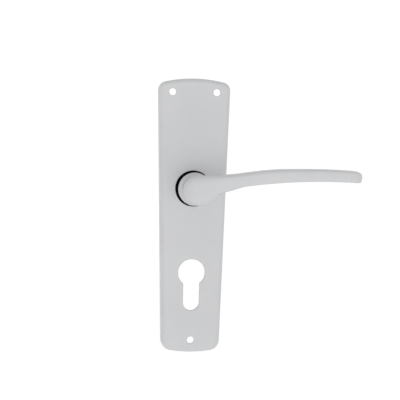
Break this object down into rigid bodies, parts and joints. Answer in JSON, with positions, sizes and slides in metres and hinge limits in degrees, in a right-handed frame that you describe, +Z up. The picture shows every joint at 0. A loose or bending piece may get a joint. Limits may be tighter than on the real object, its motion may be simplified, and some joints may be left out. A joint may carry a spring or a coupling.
{
  "type": "lever door handle",
  "caption": "Sprung lever door handle on a long tapered backplate with a euro-profile cylinder cut-out.",
  "frame": {"origin": "where the lever's axis meets the door's surface, in the plane of the backplate's back rim", "axes": "+Z up, +Y into the door along the spindle, -Y towards the user, +X along the lever's arm at rest"},
  "size_m": [0.1289, 0.106, 0.1786],
  "materials": {
    "painted_casting": "satin light grey paint on cast aluminium",
    "black_nylon": "matt moulded",
    "yellow_zinc": "yellow passivated zinc",
    "bright_zinc": "bright zinc plate",
    "spring_steel": "drawn spring wire",
    "black_steel": "phosphated and oiled"
  },
  "bodies": {
    "plate": {"backplate": "painted_casting", "neck_bush": "black_nylon", "thrust_washer": "yellow_zinc", "return_spring": "spring_steel"},
    "lever": {"lever": "painted_casting", "spring_driver": "bright_zinc", "support_washer": "bright_zinc", "retaining_ring": "black_steel", "spindle": "bright_zinc", "grub_screw": "black_steel"}
  },
  "joints": [
    {"name": "lever_turn", "type": "hinge", "parent": "plate", "child": "lever", "pos_m": [0, 0, 0], "axis": [0, 1, 0], "range_deg": [0, 45], "stiffness_Nm_per_rad": 0.6, "springref_deg": -34.38, "deforming": ["return_spring"]}
  ]
}
